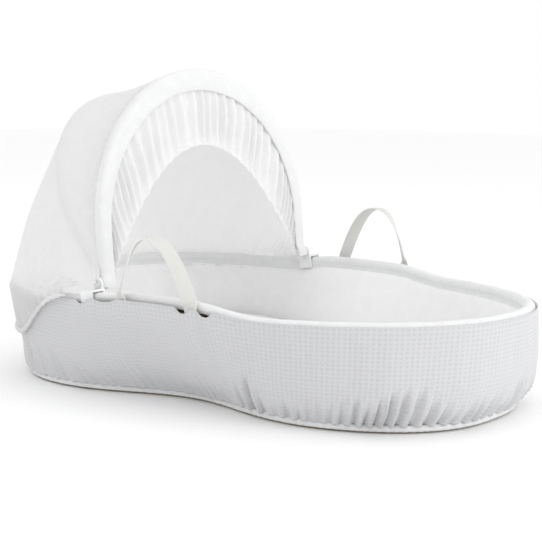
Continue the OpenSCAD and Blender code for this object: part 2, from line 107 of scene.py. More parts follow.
# the basket's outline, as in the part
basket = {"halfLength": 420, "halfWidth": 264, "height": 148, "shoulder": 14, "shoulderReach": 130,
          "endRise": 4, "headInset": 40, "footInset": 32, "sideInset": 34, "slotCentre": -13,
          "slotReach": 138, "waist": 160, "hoopDown": 9, "hoopIn": 3.5, "wallFoot": 10.3,
          "wallTop": 15.1}


def roundSide(c, power):
    return max(0.0, 1 - abs(c) ** power) ** (1 / power)


def rimShare(c):
    side = roundSide(c, 2.85 if c < 0 else 2.2) * (1 - 0.07 * c)
    return side * (1 - 0.05 * bell(c * basket["halfLength"], basket["waist"]))


def baseShare(c):
    side = roundSide(c, 3.4 if c < 0 else 2.6) * (1 - 0.12 * c)
    return side * (1 - 0.26 * bell(c * basket["halfLength"], basket["waist"]))


def rimTop(c):
    return (basket["height"] + basket["shoulder"] * bell(c * basket["halfLength"], basket["shoulderReach"], 4)
            + basket["endRise"] * c * c)


# plan place of the turn t (radians) at height share h, d outside the wall
def outline(t, h, d):
    c = math.cos(t)
    inset = basket["headInset"] if c < 0 else basket["footInset"]
    long = basket["halfLength"] - (1 - h) * inset + d
    wide = basket["halfWidth"] - (1 - h) * basket["sideInset"] + d
    side = mix(baseShare(c), rimShare(c), h)
    return long * c, math.copysign(wide * side, math.sin(t))


def slot(c):
    return bell(c * basket["halfLength"] - basket["slotCentre"], basket["slotReach"], 6)


# 1 round the corners of the head, where the skirt and the canopy's hem lie close to the wall
def cling(c):
    return smooth((-c - 0.3) / 0.4)


# turns at even steps of length round the basket
lapSteps = 2880
lapTurns, lapRun = [], [0.0]
for i in range(lapSteps + 1):
    lapTurns.append(2 * math.pi * i / lapSteps)
for i in range(lapSteps):
    ax, ay = outline(lapTurns[i], 0.6, 12)
    bx, by = outline(lapTurns[i + 1], 0.6, 12)
    lapRun.append(lapRun[-1] + math.hypot(bx - ax, by - ay))
lapLength = lapRun[-1]


def turnAt(share):
    goal = (share % 1.0) * lapLength
    low, high = 0, lapSteps
    while high - low > 1:
        middle = (low + high) // 2
        low, high = (middle, high) if lapRun[middle] <= goal else (low, middle)
    span = lapRun[high] - lapRun[low]
    return mix(lapTurns[low], lapTurns[high], (goal - lapRun[low]) / span)


# a ripple and a wave that close up after one lap
def lapRipple(u, length, seed, other=0.0):
    reach = lapLength / (2 * math.pi * length)
    return noise.noise(Vector((math.cos(2 * math.pi * u) * reach, math.sin(2 * math.pi * u) * reach,
                               seed + other)))


def lapWave(u, length, phase):
    return math.sin(2 * math.pi * (round(lapLength / length) * u + phase))


# cloth meshes


# a grid laid over place(u, w), which gives mm for shares u along and w down
def clothGrid(columns, rows, place, size):
    cloth = bmesh.new()
    threads = cloth.loops.layers.uv.new("threads")
    bmesh.ops.create_grid(cloth, x_segments=columns, y_segments=rows, size=0.5)
    for face in cloth.faces:
        for loop in face.loops:
            loop[threads].uv = ((loop.vert.co.x + 0.5) * size[0], (loop.vert.co.y + 0.5) * size[1])
    for vert in cloth.verts:
        vert.co = Vector(place(vert.co.x + 0.5, vert.co.y + 0.5)) * mm
    return cloth


def makePiece(name, cloth, material, heart=None):
    bmesh.ops.remove_doubles(cloth, verts=cloth.verts, dist=2e-6)
    bmesh.ops.recalc_face_normals(cloth, faces=cloth.faces)
    if heart is not None:
        facing = sum((f.calc_center_median() - heart).dot(f.normal) * f.calc_area() for f in cloth.faces)
        if facing < 0:
            bmesh.ops.reverse_faces(cloth, faces=cloth.faces)
    for face in cloth.faces:
        face.smooth = True
    data = bpy.data.meshes.new(name)
    cloth.to_mesh(data)
    cloth.free()
    data.materials.append(material)
    piece = bpy.data.objects.new(name, data)
    bpy.context.collection.objects.link(piece)
    return piece


# fabrics and finishes


def startMaterial(name, roughness, sheen=0.0):
    material = bpy.data.materials.new(name)
    material.use_nodes = True
    shader = material.node_tree.nodes["Principled BSDF"]
    shader.inputs["Roughness"].default_value = roughness
    shader.inputs["Sheen Weight"].default_value = sheen
    shader.inputs["Sheen Roughness"].default_value = 0.6
    return material, material.node_tree, shader


def addNode(tree, kind, settings=None):
    node = tree.nodes.new(kind)
    for key, value in (settings or {}).items():
        if hasattr(node, key):
            setattr(node, key, value)
        else:
            node.inputs[key].default_value = value
    return node


def addMath(tree, operation, a, b):
    node = tree.nodes.new("ShaderNodeMath")
    node.operation = operation
    for i, value in enumerate((a, b)):
        if hasattr(value, "links"):
            tree.links.new(value, node.inputs[i])
        else:
            node.inputs[i].default_value = value
    return node.outputs[0]


def bands(tree, place, direction, period):
    wave = addNode(tree, "ShaderNodeTexWave", {"wave_type": "BANDS", "bands_direction": direction,
                                              "wave_profile": "SIN", "Scale": 0.314159 / period})
    tree.links.new(place, wave.inputs["Vector"])
    return wave.outputs["Fac"]


def tint(tree, shader, share, low, high, start=0.35, end=0.65):
    ramp = addNode(tree, "ShaderNodeValToRGB")
    tree.links.new(share, ramp.inputs["Fac"])
    ramp.color_ramp.elements[0].position = start
    ramp.color_ramp.elements[1].position = end
    ramp.color_ramp.elements[0].color = (*low, 1)
    ramp.color_ramp.elements[1].color = (*high, 1)
    tree.links.new(ramp.outputs["Color"], shader.inputs["Base Color"])


def addBump(tree, shader, height, strength, distance, under=None):
    bump = addNode(tree, "ShaderNodeBump", {"Strength": strength, "Distance": distance})
    tree.links.new(height, bump.inputs["Height"])
    if under is not None:
        tree.links.new(under.outputs["Normal"], bump.inputs["Normal"])
    tree.links.new(bump.outputs["Normal"], shader.inputs["Normal"])
    return bump


# lets a share of the light through, as thin cotton does
def thinCloth(tree, shader, share, colour, bump):
    passing = addNode(tree, "ShaderNodeBsdfTranslucent", {"Color": (*colour, 1)})
    tree.links.new(bump.outputs["Normal"], passing.inputs["Normal"])
    both = addNode(tree, "ShaderNodeMixShader", {"Fac": share})
    tree.links.new(shader.outputs["BSDF"], both.inputs[1])
    tree.links.new(passing.outputs["BSDF"], both.inputs[2])
    tree.links.new(both.outputs["Shader"], tree.nodes["Material Output"].inputs["Surface"])


# a woven cotton: thread is its pitch, slub the size of its uneven patches, crease that of its wrinkles
def wovenCotton(name, low, high, thread=0.0009, slub=60, crease=0.35, sheen=0.15, roughness=0.92,
                thin=0.0):
    material, tree, shader = startMaterial(name, roughness, sheen)
    place = addNode(tree, "ShaderNodeTexCoord")
    warp = bands(tree, place.outputs["UV"], "X", thread)
    weft = bands(tree, place.outputs["UV"], "Y", thread)
    weave = addMath(tree, "ADD", warp, weft)
    patch = addNode(tree, "ShaderNodeTexNoise", {"Scale": slub, "Detail": 4.0, "Roughness": 0.6})
    tree.links.new(place.outputs["Object"], patch.inputs["Vector"])
    tint(tree, shader, patch.outputs["Fac"], low, high)
    wrinkle = addNode(tree, "ShaderNodeTexNoise", {"Scale": 22.0, "Detail": 5.0, "Distortion": 0.6})
    tree.links.new(place.outputs["Object"], wrinkle.inputs["Vector"])
    creased = addBump(tree, shader, wrinkle.outputs["Fac"], crease, 0.004)
    woven = addBump(tree, shader, weave, 0.25, 0.0002, creased)
    if thin:
        thinCloth(tree, shader, thin, high, woven)
    return material


# the waffle's pockets are painted darker than its ridges: painted shade in the recesses
waffle = {"pitch": 0.007, "shadedPocket": (0.595, 0.597, 0.614), "ridge": (0.635, 0.637, 0.651)}


def waffleCotton():
    material, tree, shader = startMaterial("waffleCotton", 0.94, 0.2)
    place = addNode(tree, "ShaderNodeTexCoord")
    across = bands(tree, place.outputs["UV"], "X", waffle["pitch"])
    down = bands(tree, place.outputs["UV"], "Y", waffle["pitch"])
    ridge = addMath(tree, "MAXIMUM", across, down)
    thread = addMath(tree, "ADD", bands(tree, place.outputs["UV"], "X", 0.0008),
                     bands(tree, place.outputs["UV"], "Y", 0.0008))
    # painted shade: the tint darkens the pockets between the ridges
    tint(tree, shader, ridge, waffle["shadedPocket"], waffle["ridge"], 0.25, 0.95)
    deep = addBump(tree, shader, ridge, 0.45, 0.001)
    addBump(tree, shader, thread, 0.2, 0.0002, deep)
    return material


# the strap is painted paler along its two edges, a painted highlight where its edges catch the light
def strapLeather():
    material, tree, shader = startMaterial("strapLeather", 0.6, 0.05)
    place = addNode(tree, "ShaderNodeTexCoord")
    edges = bands(tree, place.outputs["UV"], "Y", 0.029)
    # painted highlight: the strap's edges are tinted paler than its face
    tint(tree, shader, edges, (0.84, 0.84, 0.815), (0.66, 0.665, 0.63), 0.03, 0.2)
    grain = addNode(tree, "ShaderNodeTexNoise", {"Scale": 420.0, "Detail": 5.0})
    tree.links.new(place.outputs["Object"], grain.inputs["Vector"])
    addBump(tree, shader, grain.outputs["Fac"], 0.25, 0.0004)
    return material


cloths = {
    "waffle": waffleCotton(),
    "binding": wovenCotton("bindingCotton", (0.765, 0.768, 0.77), (0.8, 0.803, 0.805), thread=0.0007),
    "liner": wovenCotton("linerCotton", (0.88, 0.88, 0.885), (0.905, 0.905, 0.91), thread=0.0008, crease=0.2),
    "canopy": wovenCotton("canopyCotton", (0.89, 0.89, 0.888), (0.915, 0.915, 0.912), thread=0.0008,
                          crease=0.5, thin=0.45),
    "mattress": wovenCotton("mattressCotton", (0.84, 0.84, 0.835), (0.87, 0.87, 0.865), thread=0.0009),
    "strap": strapLeather(),
    "frill": wovenCotton("frillCotton", (0.86, 0.86, 0.86), (0.89, 0.89, 0.89), thread=0.0008, crease=0.4,
                         thin=0.2),
    "elastic": wovenCotton("elasticBraid", (0.8, 0.8, 0.78), (0.88, 0.88, 0.86), thread=0.0014),
}


# wood, cane, metal and plastic read Object coordinates
def grained(name, low, high, roughness, scale=(1, 1, 1), size=40.0, metal=0.0, bumpDepth=0.0005,
            bumpStrength=0.4, coat=0.0, kind="noise"):
    material, tree, shader = startMaterial(name, roughness)
    shader.inputs["Metallic"].default_value = metal
    shader.inputs["Coat Weight"].default_value = coat
    place = addNode(tree, "ShaderNodeTexCoord")
    stretch = addNode(tree, "ShaderNodeMapping", {"Scale": scale})
    tree.links.new(place.outputs["Object"], stretch.inputs["Vector"])
    grain = addNode(tree, "ShaderNodeTexNoise", {"Scale": size, "Detail": 6.0, "Roughness": 0.65})
    tree.links.new(stretch.outputs["Vector"], grain.inputs["Vector"])
    tint(tree, shader, grain.outputs["Fac"], low, high)
    height = grain.outputs["Fac"]
    if kind == "woven":
        rods = bands(tree, place.outputs["Object"], "Z", 0.009)
        stakes = bands(tree, place.outputs["Object"], "DIAGONAL", 0.03)
        height = addMath(tree, "ADD", addMath(tree, "MULTIPLY", rods, 1.5),
                         addMath(tree, "ADD", stakes, grain.outputs["Fac"]))
    addBump(tree, shader, height, bumpStrength, bumpDepth)
    return material


finishes = {
    "wicker": grained("wicker", (0.36, 0.24, 0.12), (0.62, 0.46, 0.27), 0.7, size=60.0,
                      bumpDepth=0.003, bumpStrength=0.8, kind="woven"),
    "cane": grained("cane", (0.45, 0.31, 0.16), (0.66, 0.5, 0.3), 0.55, (1, 1, 6), 50.0),
    "steel": grained("pinSteel", (0.7, 0.7, 0.71), (0.8, 0.8, 0.81), 0.32, (1, 8, 1), 90.0, 1.0,
                     0.0001),
    "clip": grained("clipPlastic", (0.84, 0.845, 0.85), (0.9, 0.9, 0.9), 0.45, size=220.0,
                    bumpDepth=0.0002, bumpStrength=0.3),
    # near-black steel for the brackets and handle bars: painted shade, so the slots at the handles look dark
    # as shadow
    "shadowBlack": grained("shadowBlackSteel", (0.02, 0.02, 0.022), (0.045, 0.045, 0.048), 0.5, (8, 1, 1), 90.0,
                         0.6, 0.0001),
    "wire": grained("bowWire", (0.72, 0.72, 0.73), (0.8, 0.8, 0.8), 0.4, (1, 1, 3), 120.0, 0.0,
                    0.0001, coat=0.3),
    "cap": grained("capPlastic", (0.78, 0.78, 0.77), (0.85, 0.85, 0.84), 0.35, size=160.0,
                   bumpDepth=0.0001, coat=0.2),
    "foam": grained("matFoam", (0.78, 0.74, 0.55), (0.86, 0.82, 0.64), 0.95, size=400.0,
                    bumpDepth=0.0012, bumpStrength=0.7),
}
# the brackets and handle bars take the near-black painted shade that fills the slots at the handles
nodeFinishes = {
    "base_panel": "wicker", "base_border": "cane", "basket_wall": "wicker", "rim_hoop": "cane",
    "bar_brackets": "shadowBlack", "handle_bar_near": "shadowBlack", "handle_bar_far": "shadowBlack",
    "hood_clip_near": "clip", "hood_clip_far": "clip", "pivot_pin_near": "steel",
    "pivot_pin_far": "steel", "pivot_washers": "steel", "pin_caps": "cap", "rear_bow": "wire",
    "front_bow": "wire", "mattress_core": "foam",
}
for node, finish in nodeFinishes.items():
    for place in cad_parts[node].material_slots:
        place.material = finishes[finish]
print("fabrics and finishes made")

basketHeart = Vector((0, 0, 0.07))
hoodHeart = Vector((-0.235, 0, 0.19))

# waffle skirt
skirt = {"columns": 640, "rows": 50, "foldRows": 3, "foot": 10.5, "pleat": 7.2, "pleatWidth": 18,
         "relief": 1.0, "flat": (2.75, 0.18),
         "drape": [(0.05, 8.6), (0.10, 11), (0.22, 21), (0.42, 24), (0.62, 19.5), (0.82, 14), (1, 8.3)],
         "clung": [(0.05, 8.6), (0.10, 10.5), (0.22, 10), (0.42, 10), (0.62, 10), (0.82, 11), (1, 8.3)],
         "gape": [(0.22, 0), (0.42, 4), (0.62, 11), (0.82, 17), (0.92, 13.5), (1, 11)],
         "dips": [(57, 9, 8.0), (93, 9, 7.5), (-79, 17, 5.0), (-125, 10, 6.0)]}


def skirtPoint(u, w):
    t = turnAt(u)
    c = math.cos(t)
    gape = slot(c)
    x = c * basket["halfLength"]
    dip = sum(deep * bell(x - at, wide, 4) for at, wide, deep in skirt["dips"])
    top = rimTop(c) - 4.8 - 3.6 * gape - dip + 0.8 * lapRipple(u, 48, 2)
    row = round(w * skirt["rows"])
    folds = skirt["foldRows"]
    s = max(0, row - folds) / (skirt["rows"] - folds)
    z = mix(top, skirt["foot"], s ** 0.97)
    h = z / rimTop(c)
    near = cling(c)
    d = mix(through(skirt["drape"], h), through(skirt["clung"], h), near)
    d += gape * through(skirt["gape"], h)
    column = round(u * skirt["columns"])
    if row < folds:
        d -= (2.1, 1.9, 1.0)[row]
        z += (-8.0, -1.5, 0.7)[row]
    else:
        reach = 0.38 + 0.34 * lapRipple(u, 34, 5)
        gather = skirt["pleat"] * smooth((reach - h) / 0.26) * (1 - 0.45 * near)
        wave = lapWave(u, skirt["pleatWidth"], 0.9 * lapRipple(u, 90, 8))
        d += gather * (wave * (0.75 + 0.8 * lapRipple(u, 47, 11)) - 0.35)
        calm = smooth((0.98 - h) / 0.2) * (1 - 0.75 * near) * (1 - 0.8 * gape * smooth((h - 0.6) / 0.2))
        d += (3.4 * lapRipple(u, 62, 20, h * 1.2) + 1.3 * lapRipple(u, 21, 30, h * 1.6)) * calm
        d += 0.45 * skirt["relief"] if (column % 2 or row % 2) else -skirt["relief"]
    px, py = outline(t, h, d)
    return px, py, z


waffleSkirt = makePiece("waffleSkirt", clothGrid(skirt["columns"], skirt["rows"], skirtPoint,
                                                 (skirt["columns"] * 0.0035, skirt["rows"] * 0.0035)),
                        cloths["waffle"], basketHeart)
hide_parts("waffle_skirt")
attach(waffleSkirt, "root")
print("waffle skirt", len(waffleSkirt.data.polygons))

# hem casing and its elastic
hem = {"columns": 900, "rows": 14, "middle": (5.4, 6.6), "radius": (3.4, 4.6), "gather": 11}


def hemPoint(u, w, shrink=1.0, gathers=1.0):
    t = turnAt(u)
    a = 2 * math.pi * w
    ruck = lapWave(u, hem["gather"], 0.9 * lapRipple(u, 60, 21))
    grow = 1 + gathers * (0.13 * ruck + 0.12 * lapRipple(u, 25, 23))
    d = hem["middle"][0] + hem["radius"][0] * shrink * grow * math.cos(a)
    z = hem["middle"][1] + hem["radius"][1] * shrink * math.sin(a) * (1 + 0.05 * gathers * ruck)
    px, py = outline(t, 0, d)
    return px, py, max(1.7, z)


hemCasing = makePiece("hemCasing", clothGrid(hem["columns"], hem["rows"], hemPoint, (3.0, 0.03)),
                      cloths["binding"], basketHeart)
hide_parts("hem_casing")
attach(hemCasing, "root")
hemElastic = makePiece("hemElastic", clothGrid(320, 8, lambda u, w: hemPoint(u, w, 0.55, 0), (2.2, 0.014)),
                       cloths["elastic"], basketHeart)
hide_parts("hem_elastic")
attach(hemElastic, "root")
print("hem", len(hemCasing.data.polygons))

# rolled rim binding
binding = {"columns": 640, "rows": 26, "start": -44, "end": 205, "radius": 9.0, "rolled": 0.84,
           "tailIn": -14.6, "tailDown": -25}


def bindingPoint(u, w):
    t = turnAt(u)
    c = math.cos(t)
    puff = 0.6 * lapRipple(u, 27, 31) + 0.3 * lapRipple(u, 9, 33, w * 3)
    if w < binding["rolled"]:
        share = w / binding["rolled"]
        a = math.radians(mix(binding["start"], binding["end"], share))
        tuck = 1.8 * smooth(1 - share / 0.06)
        stitch = 0.55 * bell(share - 0.13, 0.018)
        r = binding["radius"] + puff - tuck - stitch
        d, z = -basket["hoopIn"] + r * math.cos(a), -basket["hoopDown"] + r * math.sin(a)
    else:
        share = (w - binding["rolled"]) / (1 - binding["rolled"])
        a = math.radians(binding["end"])
        r = binding["radius"] + puff * (1 - share)
        d = mix(-basket["hoopIn"] + r * math.cos(a), binding["tailIn"], smooth(share))
        z = mix(-basket["hoopDown"] + r * math.sin(a), binding["tailDown"], share)
    px, py = outline(t, 1, d)
    return px, py, rimTop(c) + z


rimBinding = makePiece("rimBinding", clothGrid(binding["columns"], binding["rows"], bindingPoint,
                                               (lapLength * mm, 0.055)), cloths["binding"])
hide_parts("rim_binding")
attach(rimBinding, "root")
print("rim binding", len(rimBinding.data.polygons))

# padded liner: wall and floor
liner = {"columns": 420, "rows": 40, "outer": -7.6, "inner": -12.6, "low": 0.012, "high": 0.965,
         "floorColumns": 240, "floorRows": 44, "floorLow": 8.3, "floorHigh": 13.0}


def wallPoint(t, share, d):
    fx, fy = outline(t, 0, d)
    tx, ty = outline(t, 1, d)
    low, high = basket["wallFoot"], rimTop(math.cos(t)) - basket["wallTop"]
    return mix(fx, tx, share), mix(fy, ty, share), mix(low, high, share)


def linerPoint(u, w):
    t = turnAt(u)
    if w < 0.3:                                         # against the wall
        share = mix(liner["low"], liner["high"], w / 0.3)
        d = liner["outer"]
    elif w < 0.4:                                       # over the top
        k = (w - 0.3) / 0.1
        share, d = liner["high"] + 0.012 * math.sin(math.pi * k), mix(liner["outer"], liner["inner"], k)
    elif w < 0.92:                                      # the side that shows
        k = (w - 0.4) / 0.52
        share = mix(liner["high"], liner["low"], k)
        puff = 2.4 * math.sin(math.pi * k) ** 0.5
        fold = 1.6 * lapRipple(u, 38, 41, k * 0.9) + 1.0 * lapRipple(u, 55, 45, k)
        tuck = 0.9 * lapWave(u, 26, 0.5 * lapRipple(u, 80, 43)) * smooth(1 - k / 0.25)
        d = liner["inner"] - puff + (fold + tuck) * smooth(k / 0.08) * smooth((1 - k) / 0.1)
    else:
        k = (w - 0.92) / 0.08
        share, d = liner["low"], mix(liner["inner"], liner["outer"], k)
    return wallPoint(t, share, d)


linerWall = makePiece("linerWall", clothGrid(liner["columns"], liner["rows"], linerPoint,
                                             (lapLength * mm, 0.28)), cloths["liner"])
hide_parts("liner_wall")
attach(linerWall, "root")


# a flat pad in the basket's outline; its section runs from the middle of the top round the edge to
# the middle of the underside, as (share of the way out, height)
def padPoint(u, w, d, section, rows, wander):
    t = turnAt(u)
    step = w * rows
    i = min(int(step), rows - 1)
    (r0, z0), (r1, z1) = section[i], section[i + 1]
    k = step - i
    r, z = mix(r0, r1, k), mix(z0, z1, k)
    px, py = outline(t, 0, d)
    return px * r, py * r, z + wander(px * r, py * r, r, z)


def padSection(low, high, rows):
    section = []
    corner, flatShare = 6, 0.985
    flatRows = rows // 2 - corner
    for i in range(flatRows):
        section.append((flatShare * (i / flatRows) ** 0.75, high))
    for i in range(2 * corner + 1):
        a = math.pi / 2 - math.pi * i / (2 * corner)
        section.append((flatShare + 0.015 * math.cos(a), (low + high) / 2 + (high - low) / 2 * math.sin(a)))
    for i in range(rows - len(section) + 1):
        k = 1 - (i + 1) / (rows - len(section) + 1)
        section.append((flatShare * max(0, k) ** 0.75, low))
    return section


floorSection = padSection(liner["floorLow"], liner["floorHigh"], liner["floorRows"])
linerFloor = makePiece("linerFloor", clothGrid(
    liner["floorColumns"], liner["floorRows"],
    lambda u, w: padPoint(u, w, -14.2, floorSection, liner["floorRows"],
                          lambda x, y, r, z: 0.5 * ripple(x / 40, y / 40, 51) * (z > 12)),
    (lapLength * mm, 0.4)), cloths["liner"], Vector((0, 0, 0.0107)))
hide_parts("liner_floor")
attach(linerFloor, "root")
print("liner", len(linerWall.data.polygons))

# mattress cover
mattress = {"columns": 300, "rows": 72, "low": 13.6, "high": 50.6, "out": -19.6, "crown": 1.4}
mattressSection = padSection(mattress["low"], mattress["high"], mattress["rows"])


def mattressWander(x, y, r, z):
    if z < 40:
        return 0
    soft = mattress["crown"] * (1 - r * r)
    quilt = 1.1 * (abs(math.sin(math.pi * (x + y) / 90)) * abs(math.sin(math.pi * (x - y) / 90))) ** 0.4
    return soft + quilt * smooth((0.97 - r) / 0.06) - 0.5


mattressCover = makePiece("mattressCover", clothGrid(
    mattress["columns"], mattress["rows"],
    lambda u, w: padPoint(u, w, mattress["out"], mattressSection, mattress["rows"], mattressWander),
    (lapLength * mm, 0.5)), cloths["mattress"], Vector((0, 0, 0.032)))
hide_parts("mattress_cover")
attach(mattressCover, "mattress")
print("mattress", len(mattressCover.data.polygons))

# strap handles
strap = {"steps": 130, "around": 20, "width": 20, "thick": 3, "legs": 127, "height": 106, "rise": 20,
         "power": 2.3, "turnFrom": 8, "turnReach": 24, "square": 0.35, "groove": 0.3, "grooveAt": 0.8,
         "barX": 7.5, "barY": -257.632, "barZ": 141.07, "skew": 2.93722, "lean": 5, "stand": 2.56}


def strapLine(k):
    x = -math.cos(math.pi * k)
    return x * strap["legs"] / 2, mix(strap["height"], strap["rise"], abs(x) ** strap["power"])


# the run of the strap's middle line, its straight legs first and last
strapPath = [(-strap["legs"] / 2, strap["rise"] * i / 12) for i in range(12)]
strapPath += [strapLine(i / 90) for i in range(91)]
strapPath += [(strap["legs"] / 2, strap["rise"] * (11 - i) / 12) for i in range(12)]


def strapPoint(u, w, side):
    place = u * (len(strapPath) - 1)
    i = min(int(place), len(strapPath) - 2)
    k = place - i
    x, z = mix(strapPath[i][0], strapPath[i + 1][0], k), mix(strapPath[i][1], strapPath[i + 1][1], k)
    ahead, behind = strapPath[min(len(strapPath) - 1, i + 3)], strapPath[max(0, i - 2)]
    run = Vector((ahead[0] - behind[0], 0, ahead[1] - behind[1])).normalized()
    a = math.radians(-45 * (2 - smooth((z - strap["turnFrom"]) / strap["turnReach"])
                            - smooth(1 - abs(x) * 2 / strap["legs"])))
    across = math.cos(a) * Vector((0, 1, 0)) + math.sin(a) * Vector((run.z, 0, -run.x))
    facing = across.cross(run)
    angle = 2 * math.pi * w
    cx, cy = math.cos(angle), math.sin(angle)
    wide = math.copysign(abs(cx) ** strap["square"], cx)
    deep = math.copysign(abs(cy) ** strap["square"], cy)
    groove = strap["groove"] * bell(abs(wide) - strap["grooveAt"], 0.06) if abs(deep) > 0.8 else 0
    p = Vector((x, -(strap["stand"] + strap["thick"] / 2), z))
    p += across * wide * strap["width"] / 2 + facing * deep * (strap["thick"] / 2 - groove)
    p = Matrix.Rotation(math.radians(strap["lean"]), 3, "X") @ p
    p = Matrix.Rotation(math.radians(strap["skew"]), 3, "Z") @ p
    p += Vector((strap["barX"], strap["barY"], strap["barZ"]))
    return p.x, p.y * -side, p.z


rivet = {"rise": 10, "radius": 3, "edge": 2.6, "thick": 1, "inset": -1.26, "sides": 24}


# the two rivets on the inner face of one strap
def rivetHeads(side):
    heads = bmesh.new()
    bar = Matrix.Translation(Vector((strap["barX"], strap["barY"], strap["barZ"])) * mm)
    turn = (Matrix.Rotation(math.radians(strap["skew"]), 4, "Z")
            @ Matrix.Rotation(math.radians(strap["lean"]), 4, "X"))
    for x in (-strap["legs"] / 2, strap["legs"] / 2):
        place = Matrix.Translation(Vector((x, rivet["inset"], rivet["rise"])) * mm)
        bmesh.ops.create_cone(heads, cap_ends=True, segments=rivet["sides"], radius1=rivet["radius"] * mm,
                              radius2=rivet["edge"] * mm, depth=rivet["thick"] * mm,
                              matrix=bar @ turn @ place @ Matrix.Rotation(math.radians(90), 4, "X"))
    bmesh.ops.scale(heads, verts=heads.verts, vec=(1, -side, 1))
    return heads


for side, where in ((-1, "near"), (1, "far")):
    cloth = clothGrid(strap["steps"], strap["around"], lambda u, w: strapPoint(u, w, side), (0.34, 0.058))
    bmesh.ops.remove_doubles(cloth, verts=cloth.verts, dist=2e-6)
    bmesh.ops.holes_fill(cloth, edges=[e for e in cloth.edges if e.is_boundary], sides=40)
    handle = makePiece(where + "Strap", cloth, cloths["strap"])
    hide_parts("handle_" + where)
    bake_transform(handle)
    heads = makePiece(where + "Rivets", rivetHeads(side), finishes["steel"])
    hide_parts("strap_rivets_" + where)
    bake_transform(heads)
print("strap handles")

# hood
hood = {"pivotX": -125, "pivotZ": 166.309, "frontHalf": 229.742, "frontHeight": 306, "frontLean": 5,
        "rearHalf": 239.142, "rearHeight": 328, "rearLean": 35, "lift": 6.0, "skip": 2, "flare": 7,
        "flareReach": 30}


# how far up its bow's curve a point lies: 0 on the straight legs, 1 at the top
def bowRise(which, k, skip):
    half, leg = hood[which + "Half"], hood[which + "Height"] - hood[which + "Half"]
    run = 2 * (leg - skip) + math.pi * half
    e = min(k * run, run - k * run)
    return math.sin(max(0.0, e - (leg - skip)) / half)


# a point on a bow's middle line, grown out by grow and moved forward, k from the near foot to the far
def bowPoint(which, grow, k, forward=0.0, skip=None):
    half, height = hood[which + "Half"], hood[which + "Height"]
    lean = math.radians(hood[which + "Lean"])
    skip = hood["skip"] if skip is None else skip
    leg = height - half
    run = 2 * (leg - skip) + math.pi * half
    s = k * run
    side, e = (-1, s) if s < run / 2 else (1, run - s)
    if e < leg - skip:
        z = skip + e
        y = side * (half + grow)
    else:
        a = (e - (leg - skip)) / half
        y, z = side * (half + grow) * math.cos(a), leg + (half + grow) * math.sin(a)
    return Vector((hood["pivotX"] - z * math.sin(lean) + forward * math.cos(lean), y,
                   hood["pivotZ"] + z * math.cos(lean) + forward * math.sin(lean)))


# the canopy's line over a bow, which widens at its feet to pass outside the pivots
def canopyArch(which, k):
    p = bowPoint(which, hood["lift"], k)
    wide = hood["flare"] * (1 - smooth((p.z - hood["pivotZ"]) / hood["flareReach"]))
    return p + Vector((0, math.copysign(wide, p.y), 0))


def hoodOut(p):
    return (p - hoodHeart / mm).normalized()


canopy = {"frontColumns": 300, "frontRows": 80, "frontRun": 830, "backColumns": 320, "backRows": 130,
          "backRun": 840, "bulge": 6, "hemTurn": 111, "hemOut": 18, "hemClung": 13, "hemStart": -4,
          "hemDrop": 74, "hemRamp": 0.21, "overStart": -12, "overRim": 12, "overShare": 0.75,
          "seam": 1.6, "seamReach": 0.005}


def frontPoint(u, w):
    p = canopyArch("front", u).lerp(canopyArch("rear", u), w)
    along = u * canopy["frontRun"]
    free = smooth(u / 0.1) * smooth((1 - u) / 0.1)
    arch = math.sin(math.pi * w)
    sag = -5.0 * arch * free
    drag = 3.0 * ripple(along / 70 + w * 1.8, w * 1.1, 61) + 1.6 * ripple(along / 24 - w * 3, w * 2, 63)
    pucker = 1.3 * math.sin(2 * math.pi * (along / 12 + 0.8 * ripple(along / 40, 0, 65)))
    pucker *= math.sin(math.pi * min(1, w / 0.22)) * free
    groove = -1.8 * bell(w - 0.045, 0.03)
    seam = canopy["seam"] * bell(u - 0.5, canopy["seamReach"])
    return p + hoodOut(p) * (sag + groove + pucker + (drag + 1.0) * arch ** 0.6 + seam)


# a point k of the way round the head from the near side, fall mm under the rim's top
def hemPlace(k, fall, sideOut, headOut):
    t = math.radians(360 - mix(canopy["hemTurn"], 360 - canopy["hemTurn"], k))
    c = math.cos(t)
    px, py = outline(t, 1 - max(0, fall) / basket["height"], mix(sideOut, headOut, cling(c)))
    return Vector((px, py, rimTop(c) - fall))


def hemFall(k, first, most):
    return mix(first, most, smooth(min(k, 1 - k) / canopy["hemRamp"]))


def hemLine(k, grow):
    fall = hemFall(k, canopy["hemStart"], canopy["hemDrop"])
    return hemPlace(k, fall, canopy["hemOut"] + grow, canopy["hemClung"] + grow)


def rimPass(k):
    fall = hemFall(k, canopy["overStart"], canopy["overRim"])
    return hemPlace(k, fall, canopy["hemOut"], canopy["hemClung"] + 3)


# the back panel leaves the rear bow, passes over the rim at overShare and falls to its hem
def backPoint(u, w):
    share = canopy["overShare"]
    if w < share:
        p = canopyArch("rear", u).lerp(rimPass(u), w / share)
        bulge = canopy["bulge"] * math.sin(math.pi * w / share) * math.sin(math.pi * mix(0.1, 0.9, u))
    else:
        p, bulge = rimPass(u).lerp(hemLine(u, 1), (w - share) / (1 - share)), 0
    along = u * canopy["backRun"]
    ends = bell(min(u, 1 - u), 0.09)
    folds = 5.0 * ripple(along / 46, w * 0.9, 71) * smooth(w / 0.4) * smooth((1.02 - w) / 0.3)
    folds += 2.0 * ripple(along / 18 + w, w * 1.2, 73) * smooth((w - 0.15) / 0.4) * smooth((1.02 - w) / 0.2)
    sweep = 3.4 * ripple(along / 95 + w * 2.4, w * 2.8, 75) * math.sin(math.pi * w)
    gather = math.sin(2 * math.pi * (along / 14 + ripple(along / 50, 0, 77)))
    gather *= 1.7 * smooth((w - 0.72) / 0.25) + 3.0 * ends * smooth((w - 0.25) / 0.4)
    seam = canopy["seam"] * bell(u - 0.5, canopy["seamReach"]) * (1 - w)
    away = bulge + folds + sweep + gather + seam
    return p + hoodOut(p) * max(away, -2.5 if w > 0.5 else -8.0)


